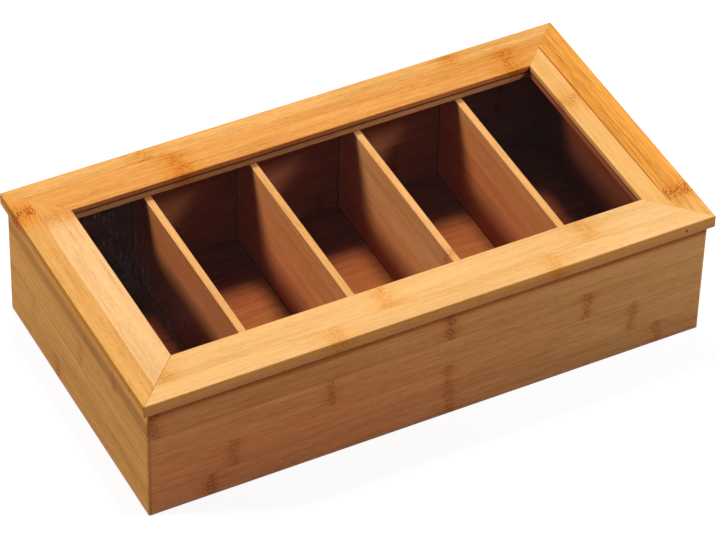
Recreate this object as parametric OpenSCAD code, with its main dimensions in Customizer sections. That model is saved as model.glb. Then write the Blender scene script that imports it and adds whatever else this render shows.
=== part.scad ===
// Tea bag organizer box: a mitred bamboo case with five compartments and a hinged lid with a clear window.
// Millimetres. +X is to the right, +Y to the back, +Z up. The origin is under the middle of the lid, on the table.

/* [Case] */
// Height of the four walls
wall_h = 79; // [50:1:120]
// Thickness of the four walls
wall_t = 10.5; // [9:0.5:16]
// Radius of the case's upright corners
corner_r = 2; // [0.5:0.5:6]
// Radius that eases the long edges of the walls
wall_ease = 0.6; // [0.2:0.1:1.2]

/* [Lid] */
// Width of the lid from left to right
lid_w = 360; // [260:1:480]
// Depth of the lid from front to back
lid_d = 195; // [140:1:280]
// Thickness of the lid's frame
lid_t = 8.5; // [8:0.5:14]
// Width of the lid's rails and stiles
rail_w = 31; // [24:1:45]
// Radius that eases the edges of the lid's frame
rail_ease = 0.6; // [0.2:0.1:1.2]
// How far the lid reaches past each side wall
side_overhang = 3; // [1:0.5:8]
// How far the lid reaches past the front wall
front_overhang = 2; // [1:0.5:8]
// How far the lid reaches past the back wall
back_overhang = 2; // [1.8:0.1:3]

/* [Pane] */
// Thickness of the clear pane
pane_t = 1.5; // [1:0.1:2.5]
// Height of the pane's underside above the lid's underside
pane_lift = 3.4; // [2:0.1:4.5]
// How far the pane enters its groove on each side
pane_bite = 5; // [3:0.5:8]
// Gap between the pane's edge and the bottom of its groove
pane_edge_gap = 0.8; // [0.2:0.1:1.5]
// Gap between the pane's upper face and its groove
pane_play = 0.3; // [0.1:0.1:0.6]

/* [Base] */
// Thickness of the base panel
base_t = 4; // [3:0.5:6]
// Height of the base panel's underside above the table
base_lift = 3; // [2:0.5:8]
// How far the base panel enters its groove on each side
base_bite = 4.5; // [3:0.5:6]
// Gap between the base panel's edge and the bottom of its groove
base_edge_gap = 0.5; // [0.2:0.1:1]
// Gap between the base panel's upper face and its groove
base_play = 0.2; // [0.1:0.1:0.5]

/* [Dividers] */
// Thickness of a divider
divider_t = 4.5; // [3:0.5:8]
// How far a divider enters its slot in the front and back walls
divider_bite = 3.5; // [2:0.5:5]
// How far the dividers' tops lie below the walls' tops
divider_drop = 0.5; // [0.2:0.1:10]
// Extra width of a slot over its divider
slot_play = 0.1; // [0.05:0.05:0.4]
// Gap between a divider's end and the bottom of its slot
slot_end_gap = 0.2; // [0.1:0.1:0.6]
// Radius that eases the dividers' edges
divider_ease = 0.4; // [0.2:0.1:1]

/* [Hinges] */
// Distance from the outermost divider to the near end of a hinge
hinge_to_divider = 4; // [1:0.5:12]
// Length of a hinge along its pin
hinge_l = 25; // [18:1:38]
// Width of a leaf from the pin's axis to its far edge
leaf_w = 8.5; // [7:0.5:9.5]
// Thickness of a leaf
leaf_t = 0.8; // [0.6:0.1:1]
// Gap between the two leaves when the lid is shut
leaf_gap = 0.2; // [0.1:0.1:0.4]
// Radius of a leaf's far corners
leaf_corner_r = 1; // [0.5:0.5:3]
// Outer radius of the knuckles
knuckle_r = 1.6; // [1.4:0.1:1.8]
// Gap between neighbouring knuckles
knuckle_gap = 0.2; // [0.1:0.1:0.5]
// Radius of a hinge pin
pin_r = 0.8; // [0.5:0.1:0.9]
// Running clearance between a pin and the knuckle that turns on it
pin_clearance = 0.05; // [0.02:0.01:0.1]
// Room left in the wood round the knuckles
knuckle_room = 0.3; // [0.2:0.1:0.6]
// Room left in the wood round a leaf's edges
mortise_play = 0.2; // [0.1:0.1:0.5]

/* [Hinge screws] */
// Distance between the two screws of a leaf
screw_pitch = 16; // [10:1:26]
// Distance from the pin's axis to the screws
screw_reach = 5; // [4:0.1:6.5]
// Length of a screw with its head
screw_l = 6; // [4:0.5:7]
// Radius of a screw's shank
screw_r = 1; // [0.7:0.1:1.2]
// Height of the pointed end of a screw
screw_tip_h = 1.6; // [0.8:0.2:2.4]
// Radius of a screw's point
screw_tip_r = 0.3; // [0.2:0.1:0.5]
// Room under the point of a screw
screw_hole_gap = 0.4; // [0.2:0.1:0.8]

/* [Mitre pins] */
// Length of a mitre pin
brad_l = 30; // [24:1:40]
// Radius of a mitre pin's shank
brad_r = 0.6; // [0.4:0.1:0.9]
// Radius of a mitre pin's head
brad_head_r = 0.9; // [0.7:0.1:1.3]
// Height of a mitre pin's head
brad_head_h = 0.7; // [0.4:0.1:1]
// Depth of a mitre pin's head below the lid's outer edge
brad_sink = 0.5; // [0.2:0.1:1]
// Distance from the lid's corner to a mitre pin
brad_inset = 19; // [14:1:21]

/* [Hidden] */
compartments = 5;
SIDES = [-1, 1];
cut = 1; // how far a cutting tool runs past the wood

case_w = lid_w - 2 * side_overhang;
case_d = lid_d - front_overhang - back_overhang;
case_y = (front_overhang - back_overhang) / 2;
front_y = case_y - case_d / 2;
back_y = case_y + case_d / 2;
room_w = case_w - 2 * wall_t;
room_d = case_d - 2 * wall_t;
floor_z = base_lift + base_t;

divider_h = wall_h - divider_drop - floor_z;
bay_w = (room_w - (compartments - 1) * divider_t) / compartments;

// Middle of divider n along X, counted from the left
function divider_x(n) = -room_w / 2 + n * bay_w + (n - 0.5) * divider_t;

window_w = lid_w - 2 * rail_w;
window_d = lid_d - 2 * rail_w;

// The barrel of each hinge lies flush with the lid's back edge, on the plane where lid and case meet.
axis_y = lid_d / 2 - knuckle_r;
hinge_x = divider_x(compartments - 1) + divider_t / 2 + hinge_to_divider + hinge_l / 2;
mortise_depth = leaf_t + leaf_gap / 2;
knuckle_l = (hinge_l - 2 * knuckle_gap) / 3;
knuckle_pitch = knuckle_l + knuckle_gap;
screw_head_r = screw_r + leaf_t;

$fn = 48;

// ---- Outlines and placing ----

// What a square corner of the first quadrant loses when it is rounded to radius r
module corner_waste(r) {
    difference() {
        square(r);
        translate([r, r]) circle(r);
    }
}

// Rectangle from the origin to (w, h), with its corners rounded anticlockwise from the origin by radii
module eased_rect(w, h, radii) {
    corners = [[0, 0], [w, 0], [w, h], [0, h]];
    difference() {
        square([w, h]);
        for (i = [0 : 3])
            if (radii[i] > 0)
                translate(corners[i]) rotate(90 * i) corner_waste(radii[i]);
    }
}

// Turns a member drawn with its outer face on Y = 0 and its inside towards +Y to face front, right, back or left
module facing(side, reach) {
    turn = side == "front" ? 0 : side == "right" ? 90 : side == "back" ? 180 : 270;
    rotate([0, 0, turn]) translate([0, -reach, 0]) children();
}

// A board along X with the section of its children, mitred at both ends: length at its outer face, breadth inwards
module mitred(length, breadth, height) {
    intersection() {
        rotate([90, 0, 90])
            linear_extrude(length, center = true) children();
        linear_extrude(height)
            polygon([
                [-length / 2, 0],
                [length / 2, 0],
                [length / 2 - breadth, breadth],
                [breadth - length / 2, breadth]
            ]);
    }
}

// ---- Case ----

module wall_section() {
    groove_depth = base_bite + base_edge_gap;
    difference() {
        eased_rect(wall_t, wall_h, [wall_ease, wall_ease, wall_ease, wall_ease]);
        translate([wall_t - groove_depth, base_lift])
            square([groove_depth + cut, base_t + base_play]);
    }
}

// A wall drawn facing front, with its half of each rounded upright corner
module wall_board(length) {
    intersection() {
        mitred(length, wall_t, wall_h) wall_section();
        translate([-length / 2, 0, 0])
            linear_extrude(wall_h)
                eased_rect(length, wall_t + cut, [corner_r, corner_r, 0, 0]);
    }
}

// Slots for every divider, drawn in a wall that faces front
module divider_slots() {
    depth = divider_bite + slot_end_gap;
    for (n = [1 : compartments - 1])
        translate([divider_x(n) - (divider_t + slot_play) / 2, wall_t - depth, base_lift])
            cube([divider_t + slot_play, depth + cut, wall_h]);
}

module front_wall() {
    color("#7d4f30")
        translate([0, case_y, 0]) facing("front", case_d / 2)
            difference() {
                wall_board(case_w);
                divider_slots();
            }
}

module back_wall() {
    color("#7d4f30")
        difference() {
            translate([0, case_y, 0]) facing("back", case_d / 2)
                difference() {
                    wall_board(case_w);
                    divider_slots();
                }
            for (side = SIDES)
                case_side(side) {
                    leaf_mortise();
                    at_leaf_screws() screw_hole();
                }
        }
}

module left_wall() {
    color("#b78246")
        translate([0, case_y, 0]) facing("left", case_w / 2) wall_board(case_d);
}

module right_wall() {
    color("#b78246")
        translate([0, case_y, 0]) facing("right", case_w / 2) wall_board(case_d);
}

module base_panel() {
    w = room_w + 2 * base_bite;
    d = room_d + 2 * base_bite;
    color("#a06a3c")
        translate([-w / 2, case_y - d / 2, base_lift]) cube([w, d, base_t]);
}

// Divider n stands on the base panel, in its two slots
module divider(n) {
    d = room_d + 2 * divider_bite;
    color("#e8b070")
        translate([divider_x(n) - divider_t / 2, case_y + d / 2, floor_z])
            rotate([90, 0, 0])
                linear_extrude(d)
                    eased_rect(divider_t, divider_h, [0, 0, divider_ease, divider_ease]);
}

// ---- Lid ----

module rail_section() {
    groove_depth = pane_bite + pane_edge_gap;
    difference() {
        eased_rect(rail_w, lid_t, [rail_ease, rail_ease, rail_ease, rail_ease]);
        translate([rail_w - groove_depth, pane_lift])
            square([groove_depth + cut, pane_t + pane_play]);
    }
}

// A frame member of the lid drawn facing front, with the holes of the mitre pins cut from where it will stand
module lid_member(side, length, reach) {
    color("#f2bd80")
        difference() {
            translate([0, 0, wall_h]) facing(side, reach) mitred(length, rail_w, lid_t) rail_section();
            at_mitres() brad_hole();
        }
}

module lid_front_rail() {
    lid_member("front", lid_w, lid_d / 2);
}

module lid_back_rail() {
    difference() {
        lid_member("back", lid_w, lid_d / 2);
        for (side = SIDES)
            lid_side(side) {
                leaf_mortise();
                at_leaf_screws() screw_hole();
            }
    }
}

module lid_left_stile() {
    lid_member("left", lid_d, lid_w / 2);
}

module lid_right_stile() {
    lid_member("right", lid_d, lid_w / 2);
}

module lid_pane() {
    w = window_w + 2 * pane_bite;
    d = window_d + 2 * pane_bite;
    color("#dfe9ea", 0.3)
        translate([-w / 2, -d / 2, wall_h + pane_lift]) cube([w, d, pane_t]);
}

// ---- Hinges, drawn with the pin along X through the origin and the leaf below and in front of it ----

// The left or right hinge's place as the case's leaf has it
module case_side(side) {
    translate([side * hinge_x, axis_y, wall_h]) children();
}

// The same place upside down, as the lid's leaf has it
module lid_side(side) {
    case_side(side) mirror([0, 0, 1]) children();
}

module along_pin(length, radius, x = 0) {
    translate([x, 0, 0]) rotate([0, 90, 0]) cylinder(h = length, r = radius, center = true);
}

// Plate of a leaf, cut back where the other leaf's knuckles turn
module leaf_plate(other_knuckles) {
    room = knuckle_r + knuckle_room;
    difference() {
        translate([-hinge_l / 2, -leaf_w, -mortise_depth])
            linear_extrude(leaf_t)
                eased_rect(hinge_l, leaf_w, [leaf_corner_r, leaf_corner_r, 0, 0]);
        for (k = other_knuckles)
            translate([k * knuckle_pitch - knuckle_l / 2 - knuckle_gap, -room, -mortise_depth - cut])
                cube([knuckle_l + 2 * knuckle_gap, room + cut, mortise_depth + 2 * cut]);
    }
}

// A leaf with knuckles at the given places along the pin, where 0 is the middle of the hinge
module leaf(own_knuckles, other_knuckles, bore_r) {
    difference() {
        union() {
            leaf_plate(other_knuckles);
            for (k = own_knuckles)
                along_pin(knuckle_l, knuckle_r, k * knuckle_pitch);
        }
        along_pin(hinge_l + 2 * cut, bore_r);
        at_leaf_screws() screw_cone();
    }
}

// The case's leaf holds the pin in its two outer knuckles
module body_leaf(side) {
    color("#b5893f")
        case_side(side) leaf([-1, 1], [0], pin_r);
}

// The lid's leaf turns on the pin with its middle knuckle
module lid_leaf(side) {
    color("#b5893f")
        lid_side(side) leaf([0], [-1, 1], pin_r + pin_clearance);
}

module hinge_pin(side) {
    color("#8f8a80")
        case_side(side) along_pin(hinge_l, pin_r);
}

// Recess in the wood for a leaf and for the barrel, open at the back
module leaf_mortise() {
    length = hinge_l + 2 * mortise_play;
    depth = leaf_w + mortise_play;
    room = knuckle_r + knuckle_room;
    translate([-length / 2, -depth, -mortise_depth])
        cube([length, depth + room, mortise_depth + cut]);
    along_pin(length, room);
    translate([-length / 2, 0, -room])
        cube([length, room, room]);
}

// ---- Fasteners ----

// Places of the two screws on a leaf, at the face where the leaves meet
module at_leaf_screws() {
    for (end = SIDES)
        translate([end * screw_pitch / 2, -screw_reach, -leaf_gap / 2]) children();
}

// Countersunk head of a screw, as high as the leaf is thick
module screw_cone() {
    translate([0, 0, -leaf_t]) cylinder(h = leaf_t, r1 = screw_r, r2 = screw_head_r);
}

module screw() {
    shank_l = screw_l - leaf_t - screw_tip_h;
    screw_cone();
    translate([0, 0, -leaf_t - shank_l]) cylinder(h = shank_l, r = screw_r);
    translate([0, 0, -screw_l]) cylinder(h = screw_tip_h, r1 = screw_tip_r, r2 = screw_r);
}

module screw_hole() {
    depth = screw_l + screw_hole_gap;
    translate([0, 0, -depth]) cylinder(h = depth, r = screw_r);
}

module hinge_body_screws() {
    color("#b5893f")
        for (side = SIDES)
            case_side(side) at_leaf_screws() screw();
}

module hinge_lid_screws() {
    color("#b5893f")
        for (side = SIDES)
            lid_side(side) at_leaf_screws() screw();
}

// Places of the four mitre pins, turned so that +Z points into the wood: through a stile at the front left and back
// right corners, and through a rail at the other two
module at_mitres() {
    for (turn = [0, 180])
        rotate(turn) translate([0, 0, wall_h + lid_t / 2]) {
            translate([-lid_w / 2, brad_inset - lid_d / 2, 0]) rotate([0, 90, 0]) children();
            translate([lid_w / 2 - brad_inset, -lid_d / 2, 0]) rotate([-90, 0, 0]) children();
        }
}

module brad() {
    translate([0, 0, brad_sink]) cylinder(h = brad_head_h, r = brad_head_r);
    translate([0, 0, brad_sink]) cylinder(h = brad_l, r = brad_r);
}

module brad_hole() {
    translate([0, 0, -cut]) cylinder(h = cut + brad_sink + brad_head_h, r = brad_head_r);
    cylinder(h = brad_sink + brad_l, r = brad_r);
}

module lid_mitre_pins() {
    color("#6f6a63")
        at_mitres() brad();
}

// ---- Nodes ----

front_wall();
back_wall();
left_wall();
right_wall();
base_panel();
for (n = [1 : compartments - 1])
    divider(n);
lid_front_rail();
lid_back_rail();
lid_left_stile();
lid_right_stile();
lid_pane();
body_leaf(-1);  // left_hinge_body_leaf
lid_leaf(-1);  // left_hinge_lid_leaf
hinge_pin(-1);  // left_hinge_pin
body_leaf(1);  // right_hinge_body_leaf
lid_leaf(1);  // right_hinge_lid_leaf
hinge_pin(1);  // right_hinge_pin
hinge_body_screws();
hinge_lid_screws();
lid_mitre_pins();
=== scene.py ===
"""Tea bag organizer box: the finish of a bamboo case with five compartments and a hinged window lid."""
import math

import bmesh
import bpy
from mathutils import Matrix, Vector


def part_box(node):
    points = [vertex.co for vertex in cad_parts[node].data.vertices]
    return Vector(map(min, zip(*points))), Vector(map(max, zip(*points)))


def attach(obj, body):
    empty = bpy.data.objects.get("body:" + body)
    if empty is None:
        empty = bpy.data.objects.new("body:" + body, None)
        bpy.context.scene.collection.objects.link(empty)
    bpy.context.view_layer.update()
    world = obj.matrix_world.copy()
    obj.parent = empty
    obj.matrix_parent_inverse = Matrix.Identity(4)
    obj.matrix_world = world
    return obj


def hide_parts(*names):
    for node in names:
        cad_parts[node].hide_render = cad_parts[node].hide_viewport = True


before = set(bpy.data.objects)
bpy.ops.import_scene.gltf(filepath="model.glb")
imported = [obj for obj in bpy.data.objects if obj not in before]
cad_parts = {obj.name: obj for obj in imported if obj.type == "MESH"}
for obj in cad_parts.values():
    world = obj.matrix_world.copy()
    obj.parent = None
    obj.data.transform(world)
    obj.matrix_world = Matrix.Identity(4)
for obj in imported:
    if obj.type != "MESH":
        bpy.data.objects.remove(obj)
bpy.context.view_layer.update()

MM = 0.001
SIDES = ("left", "right")


# ---- Shader arithmetic ----

class Value:
    """A number that varies over a surface. Arithmetic on it adds Math nodes to its material."""

    def __init__(self, finish, socket):
        self.finish = finish
        self.socket = socket

    def __add__(self, other):
        return self.finish.math("ADD", self, other)

    def __radd__(self, other):
        return self.finish.math("ADD", other, self)

    def __sub__(self, other):
        return self.finish.math("SUBTRACT", self, other)

    def __rsub__(self, other):
        return self.finish.math("SUBTRACT", other, self)

    def __mul__(self, other):
        return self.finish.math("MULTIPLY", self, other)

    def __rmul__(self, other):
        return self.finish.math("MULTIPLY", other, self)

    def __truediv__(self, other):
        return self.finish.math("DIVIDE", self, other)

    def __gt__(self, other):
        return self.finish.math("GREATER_THAN", self, other)

    def __lt__(self, other):
        return self.finish.math("LESS_THAN", self, other)

    def __pow__(self, other):
        return self.finish.math("POWER", self, other)

    def __abs__(self):
        return self.finish.math("ABSOLUTE", self)


class Finish:
    """A material or world and the calls that add nodes to it."""

    def __init__(self, owner):
        self.owner = owner
        owner.use_nodes = True
        self.tree = owner.node_tree
        self.tree.nodes.clear()

    def node(self, kind, settings=None, sockets=None):
        """Adds a node, sets its settings, then gives each named or numbered socket a number or a link."""
        made = self.tree.nodes.new(kind)
        for name, setting in (settings or {}).items():
            setattr(made, name, setting)
        for name, given in (sockets or {}).items():
            if isinstance(given, Value):
                self.tree.links.new(given.socket, made.inputs[name])
            else:
                made.inputs[name].default_value = given
        return made

    def value(self, kind, settings=None, sockets=None, out=0):
        return Value(self, self.node(kind, settings, sockets).outputs[out])

    def math(self, operation, *numbers):
        return self.value("ShaderNodeMath", {"operation": operation}, dict(enumerate(numbers)))

    def smooth_step(self, number, low, high):
        """0 below low, 1 above high, and a smooth slope between them."""
        return self.value(
            "ShaderNodeMapRange",
            {"interpolation_type": "SMOOTHSTEP"},
            {"Value": number, "From Min": low, "From Max": high},
        )

    def mix(self, share, first, second, blend="MIX"):
        """A colour: first where share is 0, second where it is 1."""
        return self.value(
            "ShaderNodeMix",
            {"data_type": "RGBA", "blend_type": blend},
            {0: share, 6: first, 7: second},
            out=2,
        )

    def place(self):
        """The surface's place in the frame, in millimetres, by axis."""
        coords = self.value("ShaderNodeTexCoord", out=3)
        split = self.node("ShaderNodeSeparateXYZ", sockets={0: coords})
        return {axis: Value(self, split.outputs[n]) * 1000 for n, axis in enumerate("xyz")}

    def point(self, x, y, z):
        return self.value("ShaderNodeCombineXYZ", sockets={0: x, 1: y, 2: z})

    def noise(self, point, detail=2.0, roughness=0.5, warp=0.0):
        """Soft noise of unit scale, about 0.5 in the middle."""
        return self.value(
            "ShaderNodeTexNoise",
            sockets={
                "Vector": point, "Scale": 1.0, "Detail": detail, "Roughness": roughness, "Distortion": warp,
            },
        )

    def random(self, number):
        """A different number from 0 to 1 for each whole number."""
        return self.value("ShaderNodeTexWhiteNoise", {"noise_dimensions": "1D"}, {"W": number})

    def bump(self, height, depth):
        """A surface normal from a height of 0 to 1 that stands for depth in millimetres."""
        return self.value(
            "ShaderNodeBump", sockets={"Strength": 1.0, "Distance": depth * MM, "Height": height}
        )

    def surface(self, sockets):
        """Ends the material in one principled shader."""
        shader = self.node("ShaderNodeBsdfPrincipled", sockets=sockets)
        self.node("ShaderNodeOutputMaterial", sockets={0: Value(self, shader.outputs[0])})
        return self.owner


def paint(red, green, blue):
    """A colour given as it looks on a screen, from 0 to 255, in the linear form that shaders use."""
    steps = (part / 255 for part in (red, green, blue))
    return tuple(s / 12.92 if s <= 0.04045 else ((s + 0.055) / 1.055) ** 2.4 for s in steps) + (1.0,)


# ---- Bamboo ----

# Sizes of the bamboo's figure, in millimetres: length along the grain, then width
HAIR = (9.0, 0.36)         # the finest fibres
FIBRE = (28.0, 0.9)
VEIN = (45.0, 1.4)         # dark fibres
STREAK = (80.0, 3.4)
CLOUD = (120.0, 15.0)      # broad changes of tone
PORE = (5.5, 0.3)          # short dark dashes
MOTTLE = (3.2, 1.3)        # soft spots that break up the fibres
FRINGE = (11.0, 0.8)       # brown dashes round a knuckle
LACE = (1.5, 0.9)          # dark flecks in a knuckle
BLOOM = (2.0, 0.8)         # pale flecks in a knuckle
BEND = (7.0, 6.5)          # the turns of a knuckle's line across the strip

# Where each mark starts in its noise, and where it is full
VEIN_EDGE = (0.5, 0.68)
PORE_EDGE = (0.62, 0.74)
DASH_EDGE = (0.34, 0.66)
FLECK_EDGE = (0.4, 0.6)
BLOOM_EDGE = (0.58, 0.7)

# How much each part of the figure lightens or darkens the wood
HAIR_CONTRAST = 0.34
FIBRE_CONTRAST = 0.40
STREAK_CONTRAST = 0.44
CLOUD_CONTRAST = 0.34
MOTTLE_CONTRAST = 0.22
PORE_CONTRAST = 0.16
VEIN_CONTRAST = 0.10
FIGURE_LIFT = 0.02         # makes up for the dark pores and fibres
GREEN_FALL = 1.3           # dark figure is browner: its green and blue fall faster than its red
BLUE_FALL = 1.9

# Where a board's figure lies in the noise, so that no two boards or strips are alike
BOARD_STEP = 10.0
BOARD_SPREAD = 31.0
STRIP_SPREAD = 400.0

GLUE_LINE = 0.3
GLUE_DARKNESS = 0.3
MITRE_LINE = 0.32
DIAGONAL = 0.7071          # the way across a mitre's line, as a share of the way along an axis
FULL_CORE = 0.2            # the part of a knuckle's half width where its flecks are full
FRINGE_GROUND = 0.35       # the share of a fringe that lies between its dashes too
FLECK_DARKNESS = 0.8
DARK_LINE = (0.5, 0.36, 0.26, 1.0)
PALE_FLECK = (1.12, 1.18, 1.24, 1.0)
BOUNCE_TINT = (0.26, 0.15, 0.12, 1.0)

RELIEF_DEPTH = 0.08        # millimetres, from the highest fibre down
HAIR_RISE = 0.5            # shares of that depth
FIBRE_RISE = 0.5
PORE_HOLLOW = 0.3
GLUE_HOLLOW = 0.5
FLECK_HOLLOW = 0.6
MITRE_HOLLOW = 0.6
OIL_ROUGHNESS = 0.5
FIBRE_ROUGHNESS = 0.2      # how much the fibres change the roughness
CLOUD_ROUGHNESS = 0.15
OIL_GLOSS = 0.03


class Knuckle:
    """A bamboo joint's mark across a strip: dark flecks, and brown dashes that fade along the grain."""

    def __init__(self, half, reach, waver, fringe, fleck):
        self.half = half        # from its middle to the edge of its flecks
        self.reach = reach      # from its middle to the end of its fringe
        self.waver = waver      # how far it wanders from a straight line across the strip
        self.fringe = fringe
        self.fleck = fleck


LID_KNUCKLE = Knuckle(7.0, 20.0, 6.0, (0.93, 0.79, 0.5, 1.0), (0.82, 0.58, 0.28, 1.0))
STILE_KNUCKLE = Knuckle(7.5, 22.0, 3.0, (0.92, 0.64, 0.28, 1.0), (0.46, 0.26, 0.12, 1.0))
WALL_KNUCKLE = Knuckle(4.8, 13.0, 4.0, (0.93, 0.78, 0.72, 1.0), (0.52, 0.38, 0.34, 1.0))


def tinted(skin, share, colour, tint):
    """The colour, turned by share towards the colour times the tint."""
    return skin.mix(share, colour, tint, "MULTIPLY")


class Board:
    """A board of pressed bamboo strips: its place, its strips and the marks that it can carry."""

    def __init__(self, name, grain, across, joints, seed, stretch):
        self.skin = Finish(bpy.data.materials.new(name))
        self.at = self.skin.place()
        self.along = self.at[grain]
        self.side = self.at[across]
        self.third = self.at[({"x", "y", "z"} - {grain, across}).pop()]
        self.joints = joints
        self.strip = sum(((self.side > joint) for joint in joints), self.side * 0.0)
        strip_place = self.skin.random(self.strip + BOARD_STEP * seed) * STRIP_SPREAD
        self.shift = strip_place + BOARD_SPREAD * seed
        self.stretch = stretch

    def spots(self, size, detail, roughness=0.5, warp=0.0):
        """Noise in spots of a length along the grain and a width across it."""
        length, width = size
        place = self.skin.point(
            (self.along + self.shift) / length, self.side / width + self.shift, self.third / width,
        )
        return self.skin.noise(place, detail, roughness, warp)

    def grained(self, size, detail, warp=0.0):
        """Spots that the board's own figure draws out along the grain."""
        length, width = size
        return self.spots((length * self.stretch, width), detail, warp=warp)

    def each_strip(self, numbers):
        """A number that changes from strip to strip."""
        pairs = enumerate(zip(numbers, numbers[1:]))
        steps = ((self.strip > n + 0.5) * (after - before) for n, (before, after) in pairs)
        return sum(steps, numbers[0])

    def tone(self, tones, bands):
        """The strips' colours, with the bands over them."""
        colour = tones[0]
        for number, other in enumerate(tones[1:]):
            colour = self.skin.mix(self.strip > number + 0.5, colour, other)
        for axis, start, end, other in bands:
            colour = self.skin.mix(self.skin.smooth_step(self.at[axis], start, end), colour, other)
        return colour

    def glue_lines(self):
        """1 on the lines between the strips."""
        lines = (self.skin.smooth_step(abs(self.side - joint), GLUE_LINE, 0.0) for joint in self.joints)
        return sum(lines, 0.0)

    def knuckle_marks(self, colour, knuckles, kind):
        """The colour with the knuckles' marks on it, and where their flecks are."""
        skin = self.skin
        waver = (self.spots(BEND, 2.0) - 0.5) * (2 * kind.waver)
        core = 0.0
        fringe = 0.0
        for place, own_strip, strength in knuckles:
            here = (abs(self.strip - own_strip) < 0.5) * strength
            gap = abs(self.along - place + waver)
            core = core + here * skin.smooth_step(gap, kind.half, kind.half * FULL_CORE)
            fringe = fringe + here * skin.smooth_step(gap, kind.reach, 0.0)
        dash = skin.smooth_step(self.spots(FRINGE, 2.0), *DASH_EDGE)
        fleck = skin.smooth_step(self.spots(LACE, 2.0, 0.6), *FLECK_EDGE) * core
        bloom = skin.smooth_step(self.spots(BLOOM, 1.0), *BLOOM_EDGE) * core
        browning = (dash * (1.0 - FRINGE_GROUND) + FRINGE_GROUND) * fringe
        colour = tinted(skin, browning, colour, kind.fringe)
        colour = tinted(skin, fleck * FLECK_DARKNESS, colour, kind.fleck)
        return tinted(skin, bloom, colour, PALE_FLECK), fleck

    def mitre_lines(self, mitres):
        """How dark the lines are where the board meets its neighbours."""
        seam = 0.0
        for x, y, slope, strength in mitres:
            gap = abs((self.at["x"] - x) - (self.at["y"] - y) * slope) * DIAGONAL
            seam = seam + self.skin.smooth_step(gap, MITRE_LINE, 0.0) * strength
        return seam


def bamboo(
    name, grain, across, joints, tones, contrast, seed,
    knuckles=(), knuckle=LID_KNUCKLE, mitres=(), bands=(), stretch=1.0,
):
    """Pressed bamboo strips under a matt oil.

    grain and across are the axes along the fibres and across the strips. joints are the glue lines' places
    across the strips, and tones and contrast have a colour and a strength of figure for each strip.
    knuckles are (place along the grain, strip, strength). mitres are (x, y, slope, strength): lines seen
    from above, where the board meets its neighbour. bands are (axis, start, end, tone): the tone takes over
    from start to end along the axis. stretch lengthens the figure along the grain.
    """
    board = Board(name, grain, across, joints, seed, stretch)
    skin = board.skin
    hair = board.grained(HAIR, 1.0)
    fibre = board.grained(FIBRE, 2.0)
    vein = skin.smooth_step(board.grained(VEIN, 2.0, warp=0.3), *VEIN_EDGE)
    streak = board.grained(STREAK, 3.0, warp=0.5)
    cloud = board.grained(CLOUD, 1.0)
    pore = skin.smooth_step(board.grained(PORE, 0.0), *PORE_EDGE)
    mottle = board.grained(MOTTLE, 2.0)

    unevenness = (
        (hair - 0.5) * HAIR_CONTRAST
        + (fibre - 0.5) * FIBRE_CONTRAST
        + (streak - 0.5) * STREAK_CONTRAST
        + (cloud - 0.5) * CLOUD_CONTRAST
        + (mottle - 0.5) * MOTTLE_CONTRAST
        - pore * PORE_CONTRAST
        - vein * VEIN_CONTRAST
        + FIGURE_LIFT
    )
    light = unevenness * board.each_strip(contrast) + 1.0
    shade = skin.point(light, light ** GREEN_FALL, light ** BLUE_FALL)
    colour = skin.mix(1.0, board.tone(tones, bands), shade, "MULTIPLY")

    glue = board.glue_lines()
    colour = tinted(skin, glue * GLUE_DARKNESS, colour, DARK_LINE)
    relief = hair * HAIR_RISE + fibre * FIBRE_RISE - pore * PORE_HOLLOW - glue * GLUE_HOLLOW
    if knuckles:
        colour, fleck = board.knuckle_marks(colour, knuckles, knuckle)
        relief = relief - fleck * FLECK_HOLLOW
    if mitres:
        seam = board.mitre_lines(mitres)
        colour = tinted(skin, seam, colour, DARK_LINE)
        relief = relief - seam * MITRE_HOLLOW

    # The light that the boards throw on each other is kept low, so that the compartments stay deep.
    path = skin.node("ShaderNodeLightPath")
    colour = tinted(skin, Value(skin, path.outputs["Is Diffuse Ray"]), colour, BOUNCE_TINT)

    return skin.surface({
        "Base Color": colour,
        "Roughness": OIL_ROUGHNESS + (fibre - 0.5) * FIBRE_ROUGHNESS + (cloud - 0.5) * CLOUD_ROUGHNESS,
        "Normal": skin.bump(relief, RELIEF_DEPTH),
        "Specular IOR Level": OIL_GLOSS,
    })


# ---- The other materials ----

# The half sizes of the lid's opening, in millimetres
WINDOW = (
    ("x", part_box("lid_right_stile")[0].x / MM),
    ("y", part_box("lid_back_rail")[0].y / MM),
)
PANE_MIDDLE = sum(corner.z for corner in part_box("lid_pane")) / 2 / MM
PANE_HAZE = 0.03            # how much the clean pane hides
PANE_BENDING = 1.49         # the acrylic's index of refraction
PANE_ROUGHNESS = 0.06
PANE_TONE = (0.03, 0.035, 0.035, 1.0)
# A painted shadow: the pane turns darker and less clear along the opening's edges, where it enters its
# groove
GROOVE_SHADOW_COVER = 0.55            # how much the dark line hides
GROOVE_SHADOW_ROUGHNESS = 0.4
GROOVE_SHADOW_EDGE = (0.9, 0.5)       # how far inside the opening's edge the line starts and is full
DUST_TONE = (0.5, 0.56, 0.62, 1.0)
DUST_COVER = 0.13           # how much a speck hides
DUST_ROUGHNESS = 0.5
DUST_SPECK = (1.1, 1.2)     # the specks' size along x and y
DUST_EDGE = (0.62, 0.74)    # where a speck starts in its noise, and where it is full
DUST_PATCH = 40.0           # the size of the patches that hold the dust
DUST_PATCH_EDGE = (0.42, 0.62)
DUST_PATCH_SHEET = 3.0      # a part of the noise apart from the specks'
DUST_SIDE = (-92.0, -125.0)  # along x, from clean to dusty
DUST_ELSEWHERE = 0.15       # the share of dust on the clean side


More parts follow.
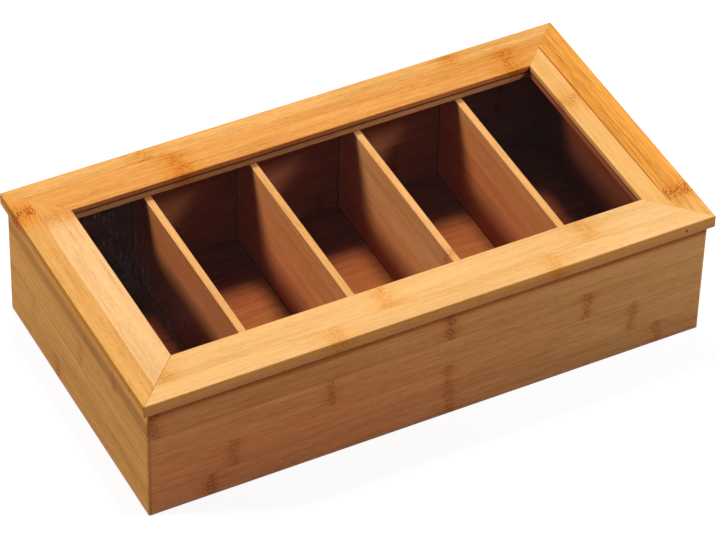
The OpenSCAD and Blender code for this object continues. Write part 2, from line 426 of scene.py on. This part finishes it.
def clear_pane():
    """Clear acrylic with a painted shadow line where it enters its groove, and dust over the left
    compartment.
    """
    skin = Finish(bpy.data.materials.new("clear_acrylic"))
    at = skin.place()
    length, width = DUST_SPECK
    grit = skin.noise(skin.point(at["x"] / length, at["y"] / width, 0.0), 1.0)
    patch = skin.noise(skin.point(at["x"] / DUST_PATCH, at["y"] / DUST_PATCH, DUST_PATCH_SHEET), 2.0)
    left = skin.smooth_step(at["x"], *DUST_SIDE) * (1.0 - DUST_ELSEWHERE) + DUST_ELSEWHERE
    speck = skin.smooth_step(grit, *DUST_EDGE) * (skin.smooth_step(patch, *DUST_PATCH_EDGE) * left)
    start, full = GROOVE_SHADOW_EDGE
    # The painted groove shadow along the opening's edges, on the pane's upper half
    groove_shadows = (skin.smooth_step(abs(at[axis]), edge - start, edge - full) for axis, edge in WINDOW)
    groove_shadow = skin.smooth_step(sum(groove_shadows, 0.0), 0.0, 1.0) * (at["z"] > PANE_MIDDLE)
    return skin.surface({
        "Base Color": skin.mix(speck, PANE_TONE, DUST_TONE),
        "Roughness": PANE_ROUGHNESS + speck * DUST_ROUGHNESS + groove_shadow * GROOVE_SHADOW_ROUGHNESS,
        "Alpha": PANE_HAZE + speck * DUST_COVER + groove_shadow * GROOVE_SHADOW_COVER,
        "IOR": PANE_BENDING,
    })


# Marks on the metal, in millimetres: length along x, then width
BRUSH_LINE = (6.0, 0.12)
BRUSH_DEPTH = 0.01
TARNISH_SPOT = (5.0, 5.0)
WIRE_LINE = (8.0, 0.1)
# Where tarnish starts in its noise, and where it is full
TARNISH_TONE_EDGE = (0.35, 0.7)
TARNISH_DULL_EDGE = (0.45, 0.75)

BRASS_BRIGHT = paint(214, 178, 106)
BRASS_TARNISHED = paint(160, 120, 66)
BRASS_ROUGHNESS = 0.26
BRUSH_ROUGHNESS = 0.16     # what brushing and tarnish add to it
TARNISH_ROUGHNESS = 0.15
STEEL_BRIGHT = paint(190, 186, 178)
STEEL_ROUGHNESS = 0.3
WIRE_ROUGHNESS = 0.2       # what the wire's lines add to it
WIRE_SHINE = 0.3           # how much they brighten the steel
PIN_TONE = paint(150, 146, 138)
BRAD_TONE = paint(38, 28, 21)


def marks(skin, size, detail):
    """Noise drawn out along x."""
    length, width = size
    at = skin.place()
    return skin.noise(skin.point(at["x"] / length, at["y"] / width, at["z"] / width), detail)


def brass():
    """Brushed hinge brass, a little tarnished."""
    skin = Finish(bpy.data.materials.new("hinge_brass"))
    brush = marks(skin, BRUSH_LINE, 3.0)
    tarnish = marks(skin, TARNISH_SPOT, 4.0)
    tarnished = skin.smooth_step(tarnish, *TARNISH_TONE_EDGE)
    dull = skin.smooth_step(tarnish, *TARNISH_DULL_EDGE)
    return skin.surface({
        "Base Color": skin.mix(tarnished, BRASS_BRIGHT, BRASS_TARNISHED),
        "Metallic": 1.0,
        "Roughness": BRASS_ROUGHNESS + brush * BRUSH_ROUGHNESS + dull * TARNISH_ROUGHNESS,
        "Normal": skin.bump(brush, BRUSH_DEPTH),
    })


def steel(name, tone):
    """Drawn steel wire with fine lines along it."""
    skin = Finish(bpy.data.materials.new(name))
    lines = marks(skin, WIRE_LINE, 2.0)
    return skin.surface({
        "Base Color": skin.mix(lines * WIRE_SHINE, tone, STEEL_BRIGHT),
        "Metallic": 1.0,
        "Roughness": STEEL_ROUGHNESS + lines * WIRE_ROUGHNESS,
    })


# ---- What each board is made of ----

# Tones of the strips
PALE = paint(249, 194, 129)
CREAM = paint(250, 191, 121)
IVORY = paint(252, 197, 129)
STRAW = paint(246, 185, 109)
GOLD = paint(239, 173, 96)
HONEY = paint(237, 163, 83)
WHEAT = paint(233, 168, 91)
AMBER = paint(244, 165, 72)
UMBER = paint(190, 112, 44)
HAZEL = paint(238, 170, 88)
OCHRE = paint(241, 179, 97)
WALL_TAN = paint(228, 160, 78)
WALL_OLIVE = paint(243, 174, 108)
WALL_BROWN = paint(246, 161, 98)
WALL_TOP = paint(236, 155, 93)
WALL_RED = paint(246, 153, 95)
WALL_FOOT = paint(242, 163, 120)
# Painted contact shadow along the walls' lower edges
CONTACT_SHADOW_TONE = paint(158, 102, 68)
WALL_STREAK = paint(195, 129, 56)
# Painted shadow under the lid's front edge
WALL_SHADE = paint(216, 128, 70)
INNER_TAN = paint(255, 162, 94)
INNER_OLIVE = paint(255, 172, 104)
INNER_BROWN = paint(255, 156, 90)
INNER_RED = paint(252, 150, 86)
INNER_DARK = paint(225, 134, 78)
# Painted light on the dividers' upper edges
CROWN_LIGHT_TONE = paint(255, 187, 112)
# Painted shade in the compartments' inner corners
CORNER_SHADE_TONE = paint(150, 80, 50)
BASE_RED = paint(248, 138, 72)
BASE_BROWN = paint(255, 149, 78)
# Painted shade on the base's rear and in the two end compartments
BASE_SHADE_TONE = paint(194, 94, 58)
# Painted shade: darker tones for the walls' inner faces, deeper in the two end compartments
SHADE_BROWN = paint(220, 138, 90)
SHADE_DEEP = paint(178, 112, 73)
SHADE_DARK = paint(148, 72, 45)

# Painted light and shade: the sides of the lid's boards carry their own tones, mostly darker and browner
# than the tops, in an upper band and a lower one
FRONT_UPPER = paint(250, 170, 89)
FRONT_LOWER = paint(236, 160, 98)
BACK_UPPER = paint(248, 141, 79)
BACK_LOWER = paint(250, 170, 108)
LEFT_UPPER = paint(202, 126, 32)
LEFT_LOWER = paint(224, 155, 71)
RIGHT_UPPER = paint(255, 178, 96)
RIGHT_LOWER = paint(209, 110, 69)

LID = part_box("lid_front_rail")[0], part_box("lid_back_rail")[1]
LEFT, RIGHT = LID[0].x / MM, LID[1].x / MM
FRONT, BACK = LID[0].y / MM, LID[1].y / MM
TOP = LID[1].z / MM
UNDERSIDE = LID[0].z / MM
DIVIDER_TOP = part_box("divider_1")[1].z / MM
BASE_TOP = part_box("base_panel")[1].z / MM
ROOM_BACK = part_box("back_wall")[0].y / MM
# Where the lid's members meet, seen from above: a corner, the line's slope, and how dark it is
FRONT_LEFT_MITRE = (LEFT, FRONT, 1.0, 0.9)
FRONT_RIGHT_MITRE = (RIGHT, FRONT, -1.0, 0.25)
BACK_LEFT_MITRE = (LEFT, BACK, -1.0, 0.25)
BACK_RIGHT_MITRE = (RIGHT, BACK, 1.0, 0.3)
# Painted light: the dividers' paler upper edges, lighter than their sides as lit from above
PAINTED_CROWN_LIGHT = (("z", DIVIDER_TOP - 0.7, DIVIDER_TOP - 0.25, CROWN_LIGHT_TONE),)
# The walls' lower edges, which are redder, and a painted contact shadow where they stand
FOOT_AND_CONTACT_SHADOW = (("z", 4.5, 0.0, WALL_FOOT), ("z", 1.0, 0.3, CONTACT_SHADOW_TONE))
# A painted shadow of the lid: the front wall's darker line under it, and the top edge above it
LID_SHADOW_BAND = (
    ("z", UNDERSIDE - 7.0, UNDERSIDE - 3.6, WALL_SHADE),
    ("z", UNDERSIDE - 1.4, UNDERSIDE - 0.8, WALL_BROWN),
)
# Painted shade: the dark lines where a divider meets the back wall and the base
PAINTED_CORNER_SHADE = (
    ("y", ROOM_BACK - 1.8, ROOM_BACK - 0.2, CORNER_SHADE_TONE),
    ("z", BASE_TOP + 1.6, BASE_TOP + 0.2, CORNER_SHADE_TONE),
)


def shaded_sides(upper, lower):
    """The painted light and shade on a lid board's sides: a band from its top edge down, a lower one, and
    its underside.
    """
    return (
        ("z", TOP - 0.25, TOP - 0.7, upper),
        ("z", TOP - 3.6, TOP - 5.4, lower),
        ("z", UNDERSIDE + 0.4, UNDERSIDE + 0.1, FRONT_LOWER),
    )


BOARDS = {
    "lid_front_rail": dict(
        grain="x", across="y", joints=(-85,), tones=(CREAM, CREAM), contrast=(0.5, 0.55), seed=1,
        knuckles=((-161, 1, 0.9), (-23, 1, 0.8), (106, 1, 0.8), (-60, 0, 0.7), (77, 0, 0.7)),
        mitres=(FRONT_LEFT_MITRE, FRONT_RIGHT_MITRE),
        bands=(("x", 60, 140, IVORY),) + shaded_sides(FRONT_UPPER, FRONT_LOWER),
    ),
    "lid_back_rail": dict(
        grain="x", across="y", joints=(87,), tones=(HONEY, GOLD), contrast=(0.9, 1.0), seed=2,
        knuckles=((-92.5, 1, 1.0), (107, 1, 1.0), (-78, 0, 1.3), (139, 0, 1.3)),
        mitres=(BACK_LEFT_MITRE, BACK_RIGHT_MITRE),
        bands=shaded_sides(BACK_UPPER, BACK_LOWER),
    ),
    "lid_left_stile": dict(
        grain="y", across="x", joints=(-168,), tones=(WHEAT, PALE), contrast=(0.85, 0.7), seed=3,
        knuckles=((75.5, 0, 1.2), (64.5, 1, 0.45)), knuckle=STILE_KNUCKLE,
        mitres=(FRONT_LEFT_MITRE, BACK_LEFT_MITRE),
        bands=(("y", 52, 70, HAZEL),) + shaded_sides(LEFT_UPPER, LEFT_LOWER),
    ),
    "lid_right_stile": dict(
        grain="y", across="x", joints=(161.8, 162.7),
        tones=(STRAW, UMBER, AMBER), contrast=(0.65, 1.3, 1.5), seed=4, stretch=2.5,
        knuckles=((28.5, 0, 0.5), (-68.5, 2, 1.05)), knuckle=STILE_KNUCKLE,
        mitres=(FRONT_RIGHT_MITRE, BACK_RIGHT_MITRE),
        bands=(("y", -45, -80, OCHRE),) + shaded_sides(RIGHT_UPPER, RIGHT_LOWER),
    ),
    "front_wall": dict(
        grain="x", across="z", joints=(17, 38, 58),
        tones=(WALL_RED, WALL_RED, WALL_BROWN, WALL_TOP), contrast=(0.85, 0.85, 0.8, 0.8), seed=5,
        knuckles=(
            (10.5, 3, 1.2), (-173, 3, 1.1), (-64.5, 2, 0.9), (99.5, 2, 1.0), (-124.5, 1, 0.7),
            (10, 1, 0.85), (130, 1, 0.8), (-139, 0, 1.0), (11, 0, 0.85), (148.5, 0, 0.8),
        ),
        knuckle=WALL_KNUCKLE,
        bands=(("x", -80, 160, WALL_OLIVE),) + LID_SHADOW_BAND + FOOT_AND_CONTACT_SHADOW,
    ),
    "back_wall": dict(
        grain="x", across="z", joints=(20, 40, 60), tones=(SHADE_BROWN,) * 4, contrast=(0.7,) * 4, seed=6,
        knuckles=((69.5, 1, 1.0), (-120, 3, 1.0), (-40, 2, 0.8), (140, 2, 1.0), (-90, 0, 0.9), (20, 0, 0.8)),
        knuckle=WALL_KNUCKLE,
        bands=(("x", 98, 104, SHADE_DEEP), ("x", -98, -104, SHADE_DEEP), ("y", 87, 92, WALL_BROWN)) + FOOT_AND_CONTACT_SHADOW,
    ),
    "left_wall": dict(
        grain="y", across="z", joints=(17, 38, 58),
        tones=(WALL_TAN,) * 4, contrast=(1.2, 1.2, 1.2, 1.0), seed=7,
        knuckles=((-51.6, 3, 0.8), (-5, 2, 0.6), (28.4, 0, 1.0), (60, 1, 0.4)), knuckle=WALL_KNUCKLE,
        bands=(
            ("z", 72, 69, WALL_STREAK), ("z", 63.2, 59.4, WALL_TAN), ("x", -172, -168, SHADE_BROWN),
        ) + FOOT_AND_CONTACT_SHADOW,
    ),
    "right_wall": dict(
        grain="y", across="z", joints=(17, 38, 58),
        tones=(WALL_RED, WALL_BROWN, WALL_BROWN, WALL_TOP), contrast=(0.8,) * 4, seed=8,
        knuckles=((30, 3, 1.0), (-35, 2, 0.8), (55, 1, 0.8), (-60, 0, 1.0)), knuckle=WALL_KNUCKLE,
        bands=FOOT_AND_CONTACT_SHADOW + (("x", 172, 168, SHADE_DARK),),
    ),
    "base_panel": dict(
        grain="x", across="y", joints=tuple(range(-80, 90, 20)),
        tones=(BASE_RED, BASE_BROWN) * 5, contrast=(0.9,) * 10, seed=9,
        knuckles=((-20, 2, 0.8), (60, 5, 0.8), (-110, 6, 0.8), (120, 1, 0.8)), knuckle=WALL_KNUCKLE,
        # Painted shade: the base darker at the rear, where the lid's rail shadows it, and in the two end
        # compartments
        bands=(("y", 22, 60, BASE_SHADE_TONE), ("x", -98, -115, BASE_SHADE_TONE), ("x", 98, 112, BASE_SHADE_TONE)),
    ),
    "divider_1": dict(
        grain="y", across="z", joints=(26, 47, 68),
        tones=(INNER_DARK,) * 4, contrast=(0.7,) * 4, seed=11,
        bands=PAINTED_CROWN_LIGHT + PAINTED_CORNER_SHADE,
    ),
    "divider_2": dict(
        grain="y", across="z", joints=(24, 44, 64),
        tones=(INNER_RED, INNER_RED, INNER_BROWN, INNER_TAN), contrast=(0.7,) * 4, seed=12,
        bands=PAINTED_CROWN_LIGHT + PAINTED_CORNER_SHADE,
    ),
    "divider_3": dict(
        grain="y", across="z", joints=(22, 45, 66),
        tones=(INNER_BROWN, INNER_TAN, INNER_OLIVE, INNER_OLIVE), contrast=(0.7,) * 4, seed=13,
        knuckles=((-50, 3, 0.8),), knuckle=WALL_KNUCKLE,
        bands=PAINTED_CROWN_LIGHT + PAINTED_CORNER_SHADE,
    ),
    "divider_4": dict(
        grain="y", across="z", joints=(30, 52, 70),
        tones=(INNER_RED, INNER_RED, INNER_BROWN, INNER_TAN), contrast=(0.7,) * 4, seed=14,
        bands=PAINTED_CROWN_LIGHT + PAINTED_CORNER_SHADE,
    ),
}


def finish_node(name, material):
    """Gives a CAD node one material."""
    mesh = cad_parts[name].data
    mesh.materials.clear()
    mesh.materials.append(material)


for board, settings in BOARDS.items():
    finish_node(board, bamboo(f"{board}_bamboo", **settings))
BRASS = brass()
finish_node("lid_pane", clear_pane())
for side in SIDES:
    finish_node(f"{side}_hinge_body_leaf", BRASS)
    finish_node(f"{side}_hinge_lid_leaf", BRASS)
    finish_node(f"{side}_hinge_pin", steel(f"{side}_pin_steel", PIN_TONE))
finish_node("lid_mitre_pins", steel("brad_steel", BRAD_TONE))


# ---- Hinge screws ----

# Places and sizes along the box and of a screw, in metres
HINGE_PLACES = [sum(corner.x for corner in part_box(f"{side}_hinge_pin")) / 2 for side in SIDES]
SCREW_PITCH = 0.016
HEAD_RADIUS = 0.0018
HEAD_HEIGHT = 0.0008
HEAD_EASE = 0.0001         # how far the head's rim is taken back, and how far down
FACE_EASE = 0.00014        # how far the face's edge is taken back
SHANK_RADIUS = 0.001
SCREW_LENGTH = 0.006
TIP_HEIGHT = 0.0016
TIP_RADIUS = 0.0003
CROSS_ARM = 0.00105        # from the middle of a screw's cross to the end of an arm
CROSS_HALF = 0.00022       # half of an arm's width
CROSS_DEPTH = 0.0005
CROSS_TAPER = 0.7          # the cross's size at its floor, as a share of its size at the face
CUT_SNAP = 1e-7            # a cut this near to a corner of the face goes through the corner
ROUND_STEPS = 32


def sink_cross(bm, top):
    """Sinks a tapered cross into a screw's flat top face."""
    faces = [top]
    for normal in ((1.0, 0.0, 0.0), (0.0, 1.0, 0.0)):
        for distance in (-CROSS_ARM, -CROSS_HALF, CROSS_HALF, CROSS_ARM):
            edges = {edge for face in faces for edge in face.edges}
            verts = {vert for face in faces for vert in face.verts}
            cut = bmesh.ops.bisect_plane(
                bm, geom=faces + list(edges) + list(verts), dist=CUT_SNAP,
                plane_co=[part * distance for part in normal], plane_no=normal,
            )
            faces = [item for item in cut["geom"] if isinstance(item, bmesh.types.BMFace)]

    def in_cross(face):
        x, y = (abs(part) for part in face.calc_center_median().xy)
        return min(x, y) < CROSS_HALF and max(x, y) < CROSS_ARM

    crossed = [face for face in faces if in_cross(face)]
    made = bmesh.ops.extrude_face_region(bm, geom=crossed)
    bmesh.ops.delete(bm, geom=crossed, context="FACES")
    floor_verts = [item for item in made["geom"] if isinstance(item, bmesh.types.BMVert)]
    bmesh.ops.scale(bm, verts=floor_verts, vec=(CROSS_TAPER, CROSS_TAPER, 1.0))
    bmesh.ops.translate(bm, verts=floor_verts, vec=(0.0, 0.0, -CROSS_DEPTH))


def add_screw(bm, place):
    """A countersunk screw with a cross recess, its face up at place's origin."""
    before = set(bm.verts)
    profile = (
        (TIP_RADIUS, -SCREW_LENGTH),
        (SHANK_RADIUS, TIP_HEIGHT - SCREW_LENGTH),
        (SHANK_RADIUS, -HEAD_HEIGHT),
        (HEAD_RADIUS - HEAD_EASE, -HEAD_EASE),
        (HEAD_RADIUS - FACE_EASE, 0.0),
    )
    verts = [bm.verts.new((radius, 0.0, height)) for radius, height in profile]
    edges = [bm.edges.new(pair) for pair in zip(verts, verts[1:])]
    bmesh.ops.spin(
        bm, geom=verts + edges, cent=(0.0, 0.0, 0.0), axis=(0.0, 0.0, 1.0),
        angle=math.tau, steps=ROUND_STEPS, use_merge=True,
    )
    groove_shadows = [edge for edge in bm.edges if edge.is_boundary]
    caps = bmesh.ops.holes_fill(bm, edges=groove_shadows, sides=0)["faces"]
    sink_cross(bm, max(caps, key=lambda face: face.calc_center_median().z))
    bmesh.ops.transform(bm, matrix=place, verts=[vert for vert in bm.verts if vert not in before])


def add_hinge_screws(node, body, upside_down):
    """The four screws of both hinges' leaves on one body, in the places of the node's own."""
    low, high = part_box(node)
    turn = Matrix.Rotation(math.pi if upside_down else 0.0, 4, "X")
    bm = bmesh.new()
    for hinge in HINGE_PLACES:
        for end in (-0.5, 0.5):
            face = low.z if upside_down else high.z
            spot = Vector((hinge + end * SCREW_PITCH, (low.y + high.y) / 2, face))
            add_screw(bm, Matrix.Translation(spot) @ turn)
    bmesh.ops.recalc_face_normals(bm, faces=bm.faces)
    mesh = bpy.data.meshes.new(f"{node}_crossed")
    bm.to_mesh(mesh)
    bm.free()
    piece = bpy.data.objects.new(f"{node}_crossed", mesh)
    bpy.context.scene.collection.objects.link(piece)
    mesh.materials.append(BRASS)
    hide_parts(node)
    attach(piece, body)


add_hinge_screws("hinge_body_screws", "case", upside_down=False)
add_hinge_screws("hinge_lid_screws", "lid", upside_down=True)


# ---- Camera, floor and light ----

# The view: degrees to the left of straight ahead, degrees above level, and how far the camera leans
CAMERA_SIDE = 28.22
CAMERA_HEIGHT = 42.34
CAMERA_LEAN = 1.68
CAMERA_DISTANCE = 2.413
CAMERA_TARGET = Vector((0.0011, -0.0006, 0.0369))
CAMERA_LENS = 209.34
SENSOR_WIDTH = 36.0
CAMERA_REACH = 20.0        # past the floor's far edge


def towards(side, height):
    """The unit vector from the object towards side degrees left of the front and height degrees up."""
    side = math.radians(side)
    height = math.radians(height)
    level = math.cos(height)
    return Vector((-math.sin(side) * level, -math.cos(side) * level, math.sin(height)))


def add_camera():
    """A long lens that looks down on the box from its front left."""
    camera = bpy.data.cameras.new("camera")
    camera.lens = CAMERA_LENS
    camera.sensor_width = SENSOR_WIDTH
    camera.clip_end = CAMERA_REACH
    holder = bpy.data.objects.new("camera", camera)
    back = towards(CAMERA_SIDE, CAMERA_HEIGHT)
    turn = back.to_track_quat("Z", "Y").to_matrix() @ Matrix.Rotation(math.radians(CAMERA_LEAN), 3, "Z")
    holder.matrix_world = Matrix.Translation(CAMERA_TARGET + back * CAMERA_DISTANCE) @ turn.to_4x4()
    bpy.context.scene.collection.objects.link(holder)
    bpy.context.scene.camera = holder


# Square lamps: degrees left of the front, degrees up, distance and size in metres, and power in watts
SOFTBOXES = {
    "left_softbox": (110.5, 37, 2.0, 0.42, 18.3),
    "top_softbox": (192.6, 71.4, 2.17, 0.35, 19.6),
    "right_softbox": (-60, 43, 2.0, 0.5, 18.2),
}


def add_softbox(name, side, height, distance, size, power):
    """A square area lamp that faces the box."""
    lamp = bpy.data.lights.new(name, "AREA")
    lamp.shape = "SQUARE"
    lamp.size = size
    lamp.energy = power
    holder = bpy.data.objects.new(name, lamp)
    back = towards(side, height)
    turn = back.to_track_quat("Z", "Y").to_matrix()
    holder.matrix_world = Matrix.Translation(CAMERA_TARGET + back * distance) @ turn.to_4x4()
    bpy.context.scene.collection.objects.link(holder)


def seen_directly(finish):
    """1 for the camera and for what shines or lets light through, 0 for light that falls on the box."""
    path = finish.node("ShaderNodeLightPath")
    names = ("Is Camera Ray", "Is Glossy Ray", "Is Transmission Ray")
    rays = [Value(finish, path.outputs[name]) for name in names]
    return finish.smooth_step(sum(rays, 0.0), 0.0, 1.0)


FLOOR_HALF_SIZE = 6.0
FLOOR_DROP = 0.0003        # keeps the floor just under the walls' lower edges
FLOOR_GREY = (0.4, 0.4, 0.4, 1.0)
FLOOR_WHITENESS = 0.82
WORLD_LIGHT = 0.03
WHITE = (1.0, 1.0, 1.0, 1.0)


def add_floor():
    """A pale floor that looks white, with the box's faint shadow on it."""
    bm = bmesh.new()
    bmesh.ops.create_grid(bm, x_segments=1, y_segments=1, size=FLOOR_HALF_SIZE)
    bmesh.ops.translate(bm, verts=bm.verts, vec=(0.0, 0.0, -FLOOR_DROP))
    mesh = bpy.data.meshes.new("floor")
    bm.to_mesh(mesh)
    bm.free()
    floor = bpy.data.objects.new("floor", mesh)
    bpy.context.scene.collection.objects.link(floor)
    paper = Finish(bpy.data.materials.new("floor_paper"))
    matt = paper.value("ShaderNodeBsdfDiffuse", sockets={"Color": FLOOR_GREY})
    strength = seen_directly(paper) * FLOOR_WHITENESS
    white = paper.value("ShaderNodeEmission", sockets={"Color": WHITE, "Strength": strength})
    both = paper.value("ShaderNodeAddShader", sockets={0: matt, 1: white})
    paper.node("ShaderNodeOutputMaterial", sockets={"Surface": both})
    mesh.materials.append(paper.owner)


def set_world():
    """White where the camera looks past the floor, and a dim room for the light."""
    room = Finish(bpy.data.worlds.new("room"))
    strength = WORLD_LIGHT + seen_directly(room) * (1.0 - WORLD_LIGHT)
    sky = room.value("ShaderNodeBackground", sockets={"Color": WHITE, "Strength": strength})
    room.node("ShaderNodeOutputWorld", sockets={"Surface": sky})
    bpy.context.scene.world = room.owner


add_camera()
for softbox, settings in SOFTBOXES.items():
    add_softbox(softbox, *settings)
add_floor()
set_world()
bpy.context.scene.view_settings.view_transform = "Standard"
